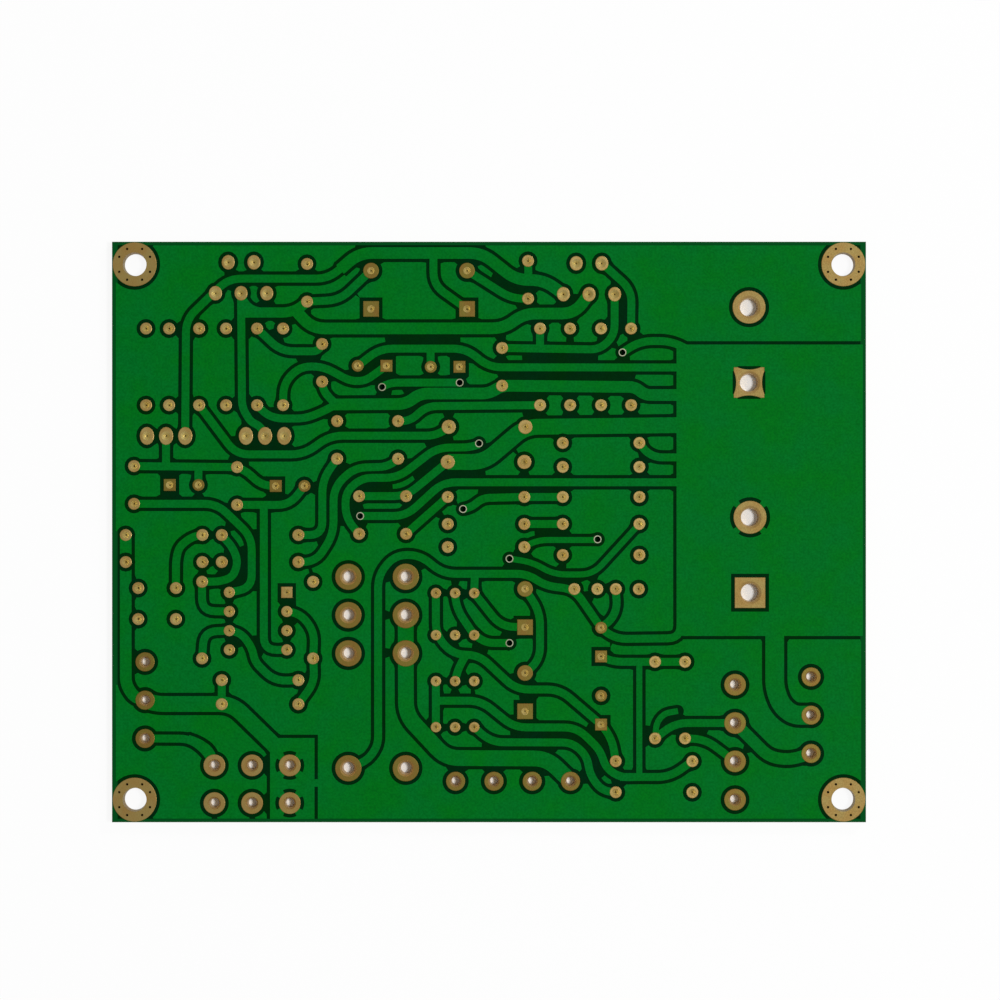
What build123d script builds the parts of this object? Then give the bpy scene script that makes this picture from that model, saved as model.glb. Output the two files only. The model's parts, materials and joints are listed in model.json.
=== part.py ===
"""Bare two-layer stereo amplifier circuit board, lying flat with its solder side up.

The laminate carries an etched copper layer (ground areas and tracks under green lacquer) and gold-plated
lands for the leads. X runs along the board's length, Y along its width and Z up from its underside.
"""

import os
from collections import namedtuple
from math import cos, dist, pi, sin

from build123d import *

# Board
BOARD_LENGTH = 100.0
BOARD_WIDTH = 77.0
BOARD_THICKNESS = 1.6
COPPER_THICKNESS = 0.07
PLATING_THICKNESS = 0.03
EDGE_SETBACK = 0.4
ISOLATION_GAP = 0.42
LAND_GAP = 0.46
SMALLEST_ISLAND = 3.0

# Mounting holes in the corners
MOUNT_INSET = 3.0
MOUNT_HOLE = 3.2
MOUNT_LAND = 5.9
MOUNT_GAP = 0.4

# Track widths
TRACK = 1.05
RAIL_TRACK = 1.55
POWER_TRACK = 2.1
FEED_TRACK = 2.5

# Lead pitches and spans of the parts that the board is drilled for
RESISTOR_SPAN = 10.16
FILM_SPAN = 5.0
ELECTROLYTIC_SPAN = 5.08
SMALL_ELECTROLYTIC_SPAN = 3.81
DIODE_SPAN = 5.5
FILTER_SPAN = 10.0
TRANSISTOR_PITCH = 2.54
REGULATOR_PITCH = 2.54
OP_AMP_PITCH = 2.54
OP_AMP_ROW = 7.62
AMPLIFIER_PITCH = 1.7
AMPLIFIER_ROW = 4.1
RELAY_PITCH = 5.08
RELAY_ROW = 7.62
RELAY_COIL_STEP = 15.24
RECTIFIER_PITCH = 5.08
TERMINAL_PITCH = 5.08
CONTROL_PITCH = 5.0

# The same pitches and spans as the photograph shows them, which tell the land that a track runs to
RESISTOR_SPAN_PIXELS = 76.6
FILM_SPAN_PIXELS = 37.7
ELECTROLYTIC_SPAN_PIXELS = 38.3
SMALL_ELECTROLYTIC_SPAN_PIXELS = 28.7
DIODE_SPAN_PIXELS = 41.5
FILTER_SPAN_PIXELS = 75.4
TRANSISTOR_PITCH_PIXELS = 19.2
REGULATOR_PITCH_PIXELS = 19.2
OP_AMP_PITCH_PIXELS = 19.2
OP_AMP_ROW_PIXELS = 57.5
AMPLIFIER_PITCH_PIXELS = 12.8
AMPLIFIER_ROW_PIXELS = 30.9
RELAY_PITCH_PIXELS = 38.3
RELAY_ROW_PIXELS = 57.5
RELAY_COIL_STEP_PIXELS = 114.9
RECTIFIER_PITCH_PIXELS = 38.3
TERMINAL_PITCH_PIXELS = 38.3
CONTROL_PITCH_PIXELS = 37.7
NEAR_PIXELS = 6

# Land sizes, across the copper
LEAD_LAND = 1.6
TRANSISTOR_LAND = 1.4
OP_AMP_LAND = 1.5
POWER_RESISTOR_LAND = 1.9
ELECTROLYTIC_LAND = 2.1
AMPLIFIER_LAND = 1.75
AMPLIFIER_LAND_LENGTH = 1.95
REGULATOR_LAND = 1.9
REGULATOR_LAND_LENGTH = 2.4
TERMINAL_LAND = 2.55
RECTIFIER_LAND = 2.9
CONTROL_LAND = 2.9
RELAY_LAND = 3.5
FILTER_LAND = 4.4

# Drilled holes of the large lands
RECTIFIER_HOLE = 1.4
CONTROL_HOLE = 1.4
RELAY_HOLE = 1.8
FILTER_HOLE = 2.5
TIE_WIDTH = 1.2
TIE_ANGLE = 45

# Sides of the outlines that repeat
LAND_SIDES = 6
SQUARE_SIDES = 4
MOUNT_SIDES = 12

# The board's edges in the 1000 by 1000 photograph, which places what is on it
LEFT_PIXEL = 112
RIGHT_PIXEL = 866
TOP_PIXEL = 242
BOTTOM_PIXEL = 822
MIDDLE_SHARE = 0.5

# Centres of the lead patterns
RESISTOR_DOWN_PIXELS = [
    (146, 367), (169, 367), (199, 367), (226, 367), (257, 367), (283, 367),
    (540, 367), (570, 367), (601, 367), (631, 367),
    (202, 620), (313, 620), (655, 700), (685, 700),
]
RESISTOR_ACROSS_PIXELS = [
    (601, 443), (601, 467), (601, 497), (601, 524), (601, 555),
    (486, 497), (486, 524), (486, 547),
    (164, 535), (164, 562), (260, 535), (260, 562),
    (260, 680), (260, 704), (654, 761), (654, 792),
]
POWER_RESISTOR_PIXELS = [(487, 427), (486, 462)]
FILM_DOWN_PIXELS = [
    (307, 283), (528, 280), (322, 363), (502, 367), (134, 485),
    (237, 486), (337, 440), (398, 440), (359, 515), (406, 515),
]
FILM_ACROSS_PIXELS = [(157, 588), (157, 619)]
DIODE_PIXELS = [(595, 589), (618, 589)]
ELECTROLYTIC_PIXELS = [(371, 290), (467, 290), (525, 608), (525, 692)]
SMALL_ELECTROLYTIC_RIGHT_PIXELS = [(372, 366), (445, 367)]
SMALL_ELECTROLYTIC_LEFT_PIXELS = [(184, 485), (290, 486)]
SMALL_ELECTROLYTIC_DOWN_PIXELS = [(601, 642), (601, 710)]
TRANSISTOR_PIXELS = [(455, 593), (455, 635), (455, 681), (455, 727)]
REGULATOR_PIXELS = [(166, 436), (265, 436)]
OP_AMP_PIXELS = [(258, 621)]
AMPLIFIER_PIXELS = [(241, 278), (589, 279)]
RELAY_CONTACT_PIXELS = [(377, 615)]
RECTIFIER_PIXELS = [(735, 742)]
INPUT_TERMINAL_PIXELS = [(145, 700)]
SUPPLY_TERMINAL_PIXELS = [(811, 715)]
SPEAKER_TERMINAL_PIXELS = [(513, 781)]
CONTROL_PIXELS = [(252, 784)]
FILTER_PIXELS = [(749, 345), (750, 555)]

# Courses of the tracks, as a width and the points that it bends at
AMPLIFIER_ROUTE_PIXELS = [
    (TRACK, [(185, 436), (185, 323), (232, 279), (329, 279), (365, 253)]),
    (RAIL_TRACK, [(365, 253), (482, 253), (516, 280), (545, 280), (563, 294)]),
    (TRACK, [(528, 261), (528, 280)]),
    (TRACK, [(433, 253), (433, 285), (467, 310)]),
    (TRACK, [(467, 271), (512, 299), (528, 299)]),
    (TRACK, [(371, 271), (340, 300), (307, 302)]),
    (TRACK, [(242, 294), (242, 400), (265, 436)]),
    (TRACK, [(242, 312), (297, 312), (307, 302)]),
    (RAIL_TRACK, [(297, 312), (312, 328), (504, 328), (524, 314), (575, 314), (589, 294)]),
    (TRACK, [(257, 328), (282, 352), (322, 345)]),
    (TRACK, [(283, 405), (283, 385), (304, 367), (322, 367), (350, 381), (386, 366)]),
    (TRACK, [(382, 385), (460, 383)]),
    (TRACK, [(502, 349), (600, 349), (615, 335), (615, 294)]),
    (TRACK, [(540, 349), (540, 328)]),
    (TRACK, [(398, 422), (429, 406), (540, 405)]),
    (TRACK, [(602, 264), (631, 290), (631, 328)]),
]
REGULATOR_ROUTE_PIXELS = [
    (TRACK, [(134, 466), (238, 467), (275, 486)]),
    (TRACK, [(166, 436), (166, 466)]),
    (TRACK, [(198, 466), (198, 485)]),
    (TRACK, [(199, 405), (236, 454), (304, 454), (330, 436), (448, 428)]),
    (TRACK, [(479, 443), (436, 447), (398, 477), (362, 477), (346, 492), (346, 518), (359, 534)]),
    (TRACK, [(398, 459), (347, 471), (334, 488), (334, 535), (298, 562)]),
    (TRACK, [(337, 459), (322, 480), (322, 525), (298, 535)]),
]
PREAMPLIFIER_ROUTE_PIXELS = [
    (TRACK, [(134, 504), (209, 504), (252, 539), (252, 575), (229, 593)]),
    (TRACK, [(202, 535), (176, 558), (176, 588)]),
    (TRACK, [(221, 535), (236, 555), (228, 577), (202, 581)]),
    (TRACK, [(202, 581), (202, 598), (229, 612)]),
    (TRACK, [(229, 631), (202, 658)]),
    (TRACK, [(229, 631), (243, 638), (276, 680), (298, 680)]),
    (TRACK, [(237, 504), (290, 505), (305, 486)]),
    (TRACK, [(264, 505), (264, 638), (286, 650)]),
    (TRACK, [(286, 612), (300, 613), (314, 632), (314, 658), (314, 684), (298, 704)]),
]
INPUT_ROUTE_PIXELS = [
    (RAIL_TRACK, [(126, 535), (126, 680), (144, 700)]),
    (POWER_TRACK, [(144, 700), (232, 704), (276, 745)]),
    (TRACK, [(221, 680), (221, 704)]),
    (TRACK, [(145, 738), (194, 739), (214, 765)]),
]
PROTECTION_ROUTE_PIXELS = [
    (TRACK, [(447, 497), (406, 534)]),
    (TRACK, [(463, 509), (483, 497), (524, 497), (563, 497)]),
    (TRACK, [(524, 524), (563, 524)]),
    (TRACK, [(524, 547), (536, 540), (598, 539)]),
    (TRACK, [(509, 559), (554, 574), (593, 574), (639, 524)]),
    (TRACK, [(436, 593), (436, 636), (453, 654), (479, 655), (516, 689), (560, 689), (601, 725)]),
    (TRACK, [(466, 655), (455, 681)]),
    (TRACK, [(455, 593), (474, 635), (487, 643), (509, 643)]),
    (TRACK, [(475, 593), (501, 626), (525, 628)]),
    (TRACK, [(525, 589), (540, 612), (540, 660), (525, 673)]),
    (TRACK, [(436, 681), (436, 727)]),
    (TRACK, [(436, 701), (481, 701), (514, 727), (577, 727), (620, 777)]),
    (TRACK, [(474, 727), (491, 742), (572, 742), (616, 792)]),
    (TRACK, [(601, 656), (612, 662), (655, 662), (685, 662)]),
    (TRACK, [(639, 662), (639, 777)]),
    (TRACK, [(620, 777), (670, 777), (692, 761)]),
    (TRACK, [(601, 725), (612, 738), (616, 761)]),
]
SPEAKER_ROUTE_PIXELS = [
    (TRACK, [(348, 770), (378, 752), (378, 575), (395, 556), (420, 556), (443, 574),
             (527, 574), (574, 589), (601, 628)]),
    (TRACK, [(475, 574), (475, 593)]),
    (POWER_TRACK, [(405, 615), (405, 654), (405, 715), (446, 758), (547, 758), (570, 781)]),
]
SUPPLY_ROUTE_PIXELS = [
    (TRACK, [(655, 739), (675, 723), (735, 723)]),
    (TRACK, [(685, 739), (705, 739), (735, 761)]),
    (RAIL_TRACK, [(735, 723), (772, 758), (811, 753)]),
]
GROUND_ROUTE_PIXELS = [
    (TRACK, [(622, 352), (640, 341), (672, 341), (690, 352)]),
    (TRACK, [(358, 366), (380, 349), (466, 349), (489, 367), (690, 367)]),
    (TRACK, [(430, 349), (430, 367)]),
    (TRACK, [(257, 405), (286, 420), (331, 404), (322, 382)]),
    (RAIL_TRACK, [(331, 404), (408, 404), (426, 389), (502, 387), (690, 391)]),
    (POWER_TRACK, [(448, 462), (484, 462), (525, 425), (690, 425)]),
    (TRACK, [(448, 462), (406, 496), (358, 496)]),
    (TRACK, [(639, 443), (650, 457), (690, 457)]),
    (TRACK, [(360, 516), (406, 516), (443, 482), (690, 482)]),
    (TRACK, [(601, 628), (614, 640), (690, 638)]),
    (FEED_TRACK, [(775, 630), (775, 695), (811, 715)]),
]

# Corners of the copper areas that stand apart from the ground area
STAR_GROUND_CORNER_PIXELS = [(677, 345), (862, 635)]
VOLUME_AREA_CORNER_PIXELS = [(270, 738), (315, 818)]

ACROSS = Vector(1, 0)
DOWN = Vector(0, -1)

Mark = namedtuple("Mark", "place pixel")
Land = namedtuple("Land", "place pixel length width sides hole tied")


def spot(pixel):
    """The place on the board of a point of the photograph."""
    right = (pixel[0] - LEFT_PIXEL) / (RIGHT_PIXEL - LEFT_PIXEL) - MIDDLE_SHARE
    down = (pixel[1] - TOP_PIXEL) / (BOTTOM_PIXEL - TOP_PIXEL) - MIDDLE_SHARE
    return Vector(BOARD_LENGTH * right, -BOARD_WIDTH * down)


def beyond(at, step, drawn, along):
    """The mark that is a step away from another, which the photograph shows drawn pixels away."""
    pixel = (at.pixel[0] + along.X * drawn, at.pixel[1] - along.Y * drawn)
    return Mark(at.place + along * step, pixel)


def row(centre, count, pitch, drawn, along):
    """Marks at an even pitch, centred on one."""
    steps = [i - (count - 1) / 2 for i in range(count)]
    return [beyond(centre, pitch * step, drawn * step, along) for step in steps]


def rows(pixels, count, pitch, drawn, along):
    """The marks of several equal rows, one list for each."""
    return [row(Mark(spot(pixel), pixel), count, pitch, drawn, along) for pixel in pixels]


def land(at, size, sides=LAND_SIDES, length=None, hole=0, tied=False):
    """A land that is size across, or longer down the board where a length is given."""
    return Land(at.place, at.pixel, length or size, size, sides, hole, tied)


def polygon(points):
    """A flat face through points."""
    return Face(Wire.make_polygon([(p.X, p.Y) for p in points], close=True))


def outline(item, margin=0):
    """The face of a land, or of the clearing that lies a margin round it."""
    step = pi / item.sides
    reach = 1 / cos(step)
    half_x = (item.width / 2 + margin) * reach
    half_y = (item.length / 2 + margin) * reach
    turns = [step * (2 * i + 1) for i in range(item.sides)]
    return polygon([item.place + Vector(half_x * cos(a), half_y * sin(a)) for a in turns])


def drilling(item):
    """The face of the opening in a land, with as many sides as a round land has."""
    sides = max(item.sides, LAND_SIDES)
    return outline(item._replace(length=item.hole, width=item.hole, sides=sides))


def strip(points, width):
    """The face of a track of even width with mitred bends."""
    left = []
    right = []
    for i, point in enumerate(points):
        into = (point - points[max(i - 1, 0)]) if i else points[1] - point
        out = (points[i + 1] - point) if i + 1 < len(points) else into
        into = into.normalized()
        out = out.normalized()
        mean = (into + out).normalized()
        side = Vector(-mean.Y, mean.X) * (width / 2 / mean.dot(into))
        left.append(point + side)
        right.append(point - side)
    return polygon(left + right[::-1])


def plates(face, base, top):
    """A plate between two heights on each part of a flat shape."""
    return [extrude(Pos(0, 0, base) * part, top - base, dir=(0, 0, 1)) for part in face.faces()]


# Lands, by what is soldered to them
lands = {name: [] for name in (
    "resistor_lands", "capacitor_lands", "electrolytic_lands", "diode_lands", "transistor_lands",
    "regulator_lands", "op_amp_lands", "amplifier_lands", "relay_lands", "rectifier_lands",
    "terminal_lands", "volume_control_lands", "filter_capacitor_lands")}

for places in rows(RESISTOR_DOWN_PIXELS, 2, RESISTOR_SPAN, RESISTOR_SPAN_PIXELS, DOWN):
    lands["resistor_lands"] += [land(p, LEAD_LAND) for p in places]
for places in rows(RESISTOR_ACROSS_PIXELS, 2, RESISTOR_SPAN, RESISTOR_SPAN_PIXELS, ACROSS):
    lands["resistor_lands"] += [land(p, LEAD_LAND) for p in places]
for places in rows(POWER_RESISTOR_PIXELS, 2, RESISTOR_SPAN, RESISTOR_SPAN_PIXELS, ACROSS):
    lands["resistor_lands"] += [land(p, POWER_RESISTOR_LAND) for p in places]
for places in rows(FILM_DOWN_PIXELS, 2, FILM_SPAN, FILM_SPAN_PIXELS, DOWN):
    lands["capacitor_lands"] += [land(p, LEAD_LAND) for p in places]
for places in rows(FILM_ACROSS_PIXELS, 2, FILM_SPAN, FILM_SPAN_PIXELS, ACROSS):
    lands["capacitor_lands"] += [land(p, LEAD_LAND) for p in places]
for places in rows(DIODE_PIXELS, 2, DIODE_SPAN, DIODE_SPAN_PIXELS, ACROSS):
    lands["diode_lands"] += [land(p, LEAD_LAND) for p in places]

# The positive lead of an electrolytic capacitor has the square land
for negative, positive in rows(ELECTROLYTIC_PIXELS, 2, ELECTROLYTIC_SPAN, ELECTROLYTIC_SPAN_PIXELS, DOWN):
    lands["electrolytic_lands"].append(land(negative, ELECTROLYTIC_LAND))
    lands["electrolytic_lands"].append(land(positive, ELECTROLYTIC_LAND, SQUARE_SIDES))
small_span = (SMALL_ELECTROLYTIC_SPAN, SMALL_ELECTROLYTIC_SPAN_PIXELS)
small_pairs = rows(SMALL_ELECTROLYTIC_RIGHT_PIXELS, 2, *small_span, ACROSS)
small_pairs += rows(SMALL_ELECTROLYTIC_LEFT_PIXELS, 2, *small_span, -ACROSS)
small_pairs += rows(SMALL_ELECTROLYTIC_DOWN_PIXELS, 2, *small_span, DOWN)
for negative, positive in small_pairs:
    lands["electrolytic_lands"].append(land(negative, LEAD_LAND))
    lands["electrolytic_lands"].append(land(positive, LEAD_LAND, SQUARE_SIDES))

for places in rows(TRANSISTOR_PIXELS, 3, TRANSISTOR_PITCH, TRANSISTOR_PITCH_PIXELS, ACROSS):
    lands["transistor_lands"] += [land(p, TRANSISTOR_LAND) for p in places]
for places in rows(REGULATOR_PIXELS, 3, REGULATOR_PITCH, REGULATOR_PITCH_PIXELS, ACROSS):
    lands["regulator_lands"] += [
        land(p, REGULATOR_LAND, LAND_SIDES, REGULATOR_LAND_LENGTH) for p in places]

# The eight leads of the operational amplifier, whose first land is square
[op_amp_sides] = rows(OP_AMP_PIXELS, 2, OP_AMP_ROW, OP_AMP_ROW_PIXELS, -ACROSS)
for side in op_amp_sides:
    for place in row(side, 4, OP_AMP_PITCH, OP_AMP_PITCH_PIXELS, DOWN):
        first = not lands["op_amp_lands"]
        lands["op_amp_lands"].append(land(place, OP_AMP_LAND, SQUARE_SIDES if first else LAND_SIDES))

# The five leads of a power amplifier stand in two staggered rows
for back, front in rows(AMPLIFIER_PIXELS, 2, AMPLIFIER_ROW, AMPLIFIER_ROW_PIXELS, DOWN):
    staggered = row(back, 2, 2 * AMPLIFIER_PITCH, 2 * AMPLIFIER_PITCH_PIXELS, ACROSS)
    staggered += row(front, 3, 2 * AMPLIFIER_PITCH, 2 * AMPLIFIER_PITCH_PIXELS, ACROSS)
    lands["amplifier_lands"] += [
        land(p, AMPLIFIER_LAND, LAND_SIDES, AMPLIFIER_LAND_LENGTH) for p in staggered]

# Two columns of three contact leads, and the coil's pair further down
[relay_columns] = rows(RELAY_CONTACT_PIXELS, 2, RELAY_ROW, RELAY_ROW_PIXELS, ACROSS)
for column in relay_columns:
    contacts = row(column, 3, RELAY_PITCH, RELAY_PITCH_PIXELS, DOWN)
    coil = beyond(contacts[-1], RELAY_COIL_STEP, RELAY_COIL_STEP_PIXELS, DOWN)
    for place in contacts + [coil]:
        lands["relay_lands"].append(land(place, RELAY_LAND, LAND_SIDES, hole=RELAY_HOLE))

for places in rows(RECTIFIER_PIXELS, 4, RECTIFIER_PITCH, RECTIFIER_PITCH_PIXELS, DOWN):
    lands["rectifier_lands"] += [
        land(p, RECTIFIER_LAND, LAND_SIDES, hole=RECTIFIER_HOLE) for p in places]
terminal_span = (TERMINAL_PITCH, TERMINAL_PITCH_PIXELS)
terminal_rows = rows(INPUT_TERMINAL_PIXELS + SUPPLY_TERMINAL_PIXELS, 3, *terminal_span, DOWN)
terminal_rows += rows(SPEAKER_TERMINAL_PIXELS, 4, *terminal_span, ACROSS)
for places in terminal_rows:
    lands["terminal_lands"] += [land(p, TERMINAL_LAND) for p in places]
[control_sides] = rows(CONTROL_PIXELS, 2, CONTROL_PITCH, CONTROL_PITCH_PIXELS, DOWN)
for side in control_sides:
    for i, place in enumerate(row(side, 3, CONTROL_PITCH, CONTROL_PITCH_PIXELS, ACROSS)):
        lands["volume_control_lands"].append(
            land(place, CONTROL_LAND, LAND_SIDES, hole=CONTROL_HOLE, tied=i == 2))

# One lead of each filter capacitor is tied to the star ground by four bridges
for i, (negative, positive) in enumerate(rows(FILTER_PIXELS, 2, FILTER_SPAN, FILTER_SPAN_PIXELS, DOWN)):
    lands["filter_capacitor_lands"].append(
        land(negative, FILTER_LAND, LAND_SIDES, hole=FILTER_HOLE, tied=i == 1))
    lands["filter_capacitor_lands"].append(
        land(positive, FILTER_LAND, SQUARE_SIDES, hole=FILTER_HOLE, tied=i == 0))

# Plated rings round the mounting holes
corner = Vector(BOARD_LENGTH / 2 - MOUNT_INSET, BOARD_WIDTH / 2 - MOUNT_INSET)
corner_places = [Vector(x * corner.X, y * corner.Y) for x in (-1, 1) for y in (-1, 1)]
mounts = [
    land(Mark(place, None), MOUNT_LAND, MOUNT_SIDES, hole=MOUNT_HOLE) for place in corner_places]
every_land = [item for group in lands.values() for item in group]


def land_under(pixel):
    """The land that the photograph shows at a pixel, if any."""
    near = min(every_land, key=lambda item: dist(item.pixel, pixel))
    return near if dist(near.pixel, pixel) < NEAR_PIXELS else None


def course(pixels):
    """The points of a track, each at the centre of the land that it runs to or else as drawn."""
    under = [land_under(pixel) for pixel in pixels]
    return [item.place if item else spot(pixel) for item, pixel in zip(under, pixels)]


def etched_course(pixels):
    """The same points, carried on past the lands at the ends by their clearance."""
    points = course(pixels)
    ends = []
    for i, neighbour in ((0, points[1]), (-1, points[-2])):
        item = land_under(pixels[i])
        reach = item.width / 2 + LAND_GAP if item else 0
        ends.append(points[i] + (points[i] - neighbour).normalized() * reach)
    return [ends[0]] + points[1:-1] + [ends[1]]


def corner_area(pixels, margin=0):
    """An upright copper area between two corners."""
    first, last = (spot(pixel) for pixel in pixels)
    size = last - first
    middle = (first + last) * MIDDLE_SHARE
    return Pos(middle.X, middle.Y) * Rectangle(abs(size.X) + 2 * margin, abs(size.Y) + 2 * margin)


def clearing(item):
    """What is etched for a land: its own face and the ring round it, bridged where the land is tied."""
    if not item.hole:
        return outline(item._replace(sides=SQUARE_SIDES), LAND_GAP)
    ring = outline(item, LAND_GAP)
    if not item.tied:
        return ring
    reach = 2 * item.length
    bridges = [
        Pos(item.place.X, item.place.Y) * Rot(0, 0, angle) * Rectangle(reach, TIE_WIDTH)
        for angle in (TIE_ANGLE, -TIE_ANGLE)]
    return (ring - bridges) + outline(item)


# Tracks and the copper areas that stand apart, with the drilled lands left out of them
routes = {
    "amplifier_tracks": AMPLIFIER_ROUTE_PIXELS,
    "regulator_tracks": REGULATOR_ROUTE_PIXELS,
    "preamplifier_tracks": PREAMPLIFIER_ROUTE_PIXELS,
    "protection_tracks": PROTECTION_ROUTE_PIXELS,
    "speaker_tracks": SPEAKER_ROUTE_PIXELS,
    "supply_tracks": SUPPLY_ROUTE_PIXELS,
    "volume_control_area": INPUT_ROUTE_PIXELS,
    "star_ground_area": GROUND_ROUTE_PIXELS,
}
areas = {
    "volume_control_area": VOLUME_AREA_CORNER_PIXELS,
    "star_ground_area": STAR_GROUND_CORNER_PIXELS,
}
drilled = [item for item in every_land if item.hole]
served = [land_under(pixel) for table in routes.values() for _, points in table for pixel in points]

# A land that no track serves stands alone, with its foot on the laminate
alone = [item for item in every_land if not item.hole and item not in served]
footed_faces = [outline(item) for item in drilled + alone]
copper = {}
etched = []
for name, table in routes.items():
    strips = [strip(course(points), width) for width, points in table]
    etched += [strip(etched_course(points), width + 2 * ISOLATION_GAP) for width, points in table]
    cuts = footed_faces
    if name in areas:
        area = corner_area(areas[name])
        strips.append(area)
        etched.append(corner_area(areas[name], ISOLATION_GAP))
        cuts = cuts + [clearing(item) for item in drilled if area.faces()[0].is_inside(item.place)]
    copper[name] = (Sketch() + strips) - cuts

# The ground area fills what the tracks and lands leave
board = Rectangle(BOARD_LENGTH - 2 * EDGE_SETBACK, BOARD_WIDTH - 2 * EDGE_SETBACK)
clearings = [clearing(item) for item in drilled + alone]
mount_clearings = [outline(item, MOUNT_GAP) for item in mounts]
ground = board - etched - clearings - mount_clearings
copper["ground_area"] = Sketch() + [part for part in ground.faces() if part.area > SMALLEST_ISLAND**2]

# Laminate, drilled for the mounting screws and the large leads
screw_holes = [Pos(item.place.X, item.place.Y) * Circle(item.hole / 2) for item in mounts]
lead_holes = [drilling(item) for item in drilled]
sheet = Rectangle(BOARD_LENGTH, BOARD_WIDTH) - lead_holes - screw_holes
pieces = {"laminate": plates(sheet, 0, BOARD_THICKNESS)}

copper_top = BOARD_THICKNESS + COPPER_THICKNESS
land_top = copper_top + PLATING_THICKNESS
for name, face in copper.items():
    pieces[name] = plates(face, BOARD_THICKNESS, copper_top)
lands["mounting_rings"] = mounts
for name, group in lands.items():
    pieces[name] = []
    for item in group:
        face = outline(item) - drilling(item) if item.hole else outline(item)
        base = BOARD_THICKNESS if item.hole or item in alone else copper_top
        pieces[name] += plates(face, base, land_top)

os.makedirs("parts", exist_ok=True)
for name, members in pieces.items():
    export_step(Compound(children=members), f"parts/{name}.step")
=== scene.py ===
import json
import math
from collections import namedtuple

import bpy
from mathutils import Matrix, Vector, geometry, kdtree

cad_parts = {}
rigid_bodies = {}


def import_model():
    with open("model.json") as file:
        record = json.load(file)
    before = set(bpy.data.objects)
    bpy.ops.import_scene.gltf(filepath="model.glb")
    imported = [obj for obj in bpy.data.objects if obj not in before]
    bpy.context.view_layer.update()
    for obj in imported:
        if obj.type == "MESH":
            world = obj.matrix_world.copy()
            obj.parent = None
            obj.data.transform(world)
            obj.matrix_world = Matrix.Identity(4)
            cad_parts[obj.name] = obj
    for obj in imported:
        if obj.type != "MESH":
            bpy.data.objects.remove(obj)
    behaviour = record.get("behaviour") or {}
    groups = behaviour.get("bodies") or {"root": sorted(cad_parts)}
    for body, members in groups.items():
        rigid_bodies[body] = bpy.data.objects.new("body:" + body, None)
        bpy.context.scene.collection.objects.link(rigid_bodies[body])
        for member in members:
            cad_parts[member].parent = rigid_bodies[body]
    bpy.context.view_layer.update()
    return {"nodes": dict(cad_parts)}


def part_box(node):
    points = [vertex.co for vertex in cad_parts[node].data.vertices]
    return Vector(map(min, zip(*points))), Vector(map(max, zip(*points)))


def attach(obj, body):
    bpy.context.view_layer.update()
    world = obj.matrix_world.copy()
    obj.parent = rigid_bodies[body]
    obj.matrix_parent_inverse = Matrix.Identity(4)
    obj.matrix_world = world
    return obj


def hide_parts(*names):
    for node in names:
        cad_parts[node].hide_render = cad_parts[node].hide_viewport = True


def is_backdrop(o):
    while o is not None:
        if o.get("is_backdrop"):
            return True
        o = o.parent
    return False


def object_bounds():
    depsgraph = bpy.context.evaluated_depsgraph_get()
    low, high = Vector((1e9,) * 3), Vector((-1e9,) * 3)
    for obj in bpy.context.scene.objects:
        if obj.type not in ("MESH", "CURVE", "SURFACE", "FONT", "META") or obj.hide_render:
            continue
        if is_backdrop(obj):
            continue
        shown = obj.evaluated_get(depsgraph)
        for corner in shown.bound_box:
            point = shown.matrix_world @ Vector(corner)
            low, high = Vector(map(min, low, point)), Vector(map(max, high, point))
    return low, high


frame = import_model()

MM = 0.001
FIT = 1e-6
CLOSEST_CORNERS = 1e-5
FLAT = math.radians(0.5)
SHARP = math.radians(20)

# The board with the heights of its layers, and how far a cutting tool passes them
BOARD_LOW, BOARD_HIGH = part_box("laminate")
BOARD_TOP = BOARD_HIGH.z
COPPER_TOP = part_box("ground_area")[1].z
LAND_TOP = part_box("relay_lands")[1].z
REACH = 0.3 * MM

# The photograph's pixels on the board, and the margins that are bare of copper
BOARD_PIXELS = 754
MIDDLE_PIXEL = (489, 532)
PIXEL = (BOARD_HIGH.x - BOARD_LOW.x) / BOARD_PIXELS
MARGIN = 3.6 * PIXEL
RIGHT_MARGIN = 4.8 * PIXEL
GROUND_LOW = BOARD_LOW + Vector((MARGIN, MARGIN, 0))
GROUND_HIGH = BOARD_HIGH - Vector((RIGHT_MARGIN, MARGIN, 0))

# Gaps that are etched, and what is too narrow or, in square millimetres, too small to keep its copper
ISOLATION_GAP = 0.44 * MM
LAND_GAP = 0.47 * MM
MOUNT_GAP = 0.45 * MM
NARROWEST = 4.5 * PIXEL
MARGIN_NARROWEST = 2 * PIXEL
SMALLEST_ISLAND = (4 * PIXEL / MM) ** 2
NECK_STEP = 2 * PIXEL
NECK_LAP = 0.8 * PIXEL
NECK_SLIVER = 0.15 * PIXEL
PARTING = 0.05

# Bends of the tracks, and the rounding of upper edges
BEND = 13 * PIXEL
BEND_SHARE = 0.48
END_SHARE = 0.85
BEND_STEPS = 6
ARC_STEPS = 8
COPPER_ROUND = 0.025 * MM
LAND_ROUND = 0.06 * MM

# Sides of round things, by their size
SMALL_SIDES = 16
CLEARING_SIDES = 24
WIDE_SIDES = 32
MOUNT_SIDES = 64
DOT_SIDES = 10

# What each group of lands is drilled with
LEAD_HOLES = {
    "resistor_lands": 0.86 * MM,
    "capacitor_lands": 0.86 * MM,
    "electrolytic_lands": 0.9 * MM,
    "diode_lands": 0.9 * MM,
    "transistor_lands": 0.76 * MM,
    "regulator_lands": 1.1 * MM,
    "op_amp_lands": 0.8 * MM,
    "amplifier_lands": 1.1 * MM,
    "relay_lands": 1.8 * MM,
    "rectifier_lands": 1.4 * MM,
    "terminal_lands": 1.3 * MM,
    "volume_control_lands": 1.4 * MM,
    "filter_capacitor_lands": 2.5 * MM,
}

# Widths of the tracks
FINE_TRACK = 0.8 * MM
TRACK = 1.05 * MM
LINK = 1.35 * MM
RAIL = 1.55 * MM
POWER = 2.1 * MM
FEED = 2.5 * MM

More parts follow.
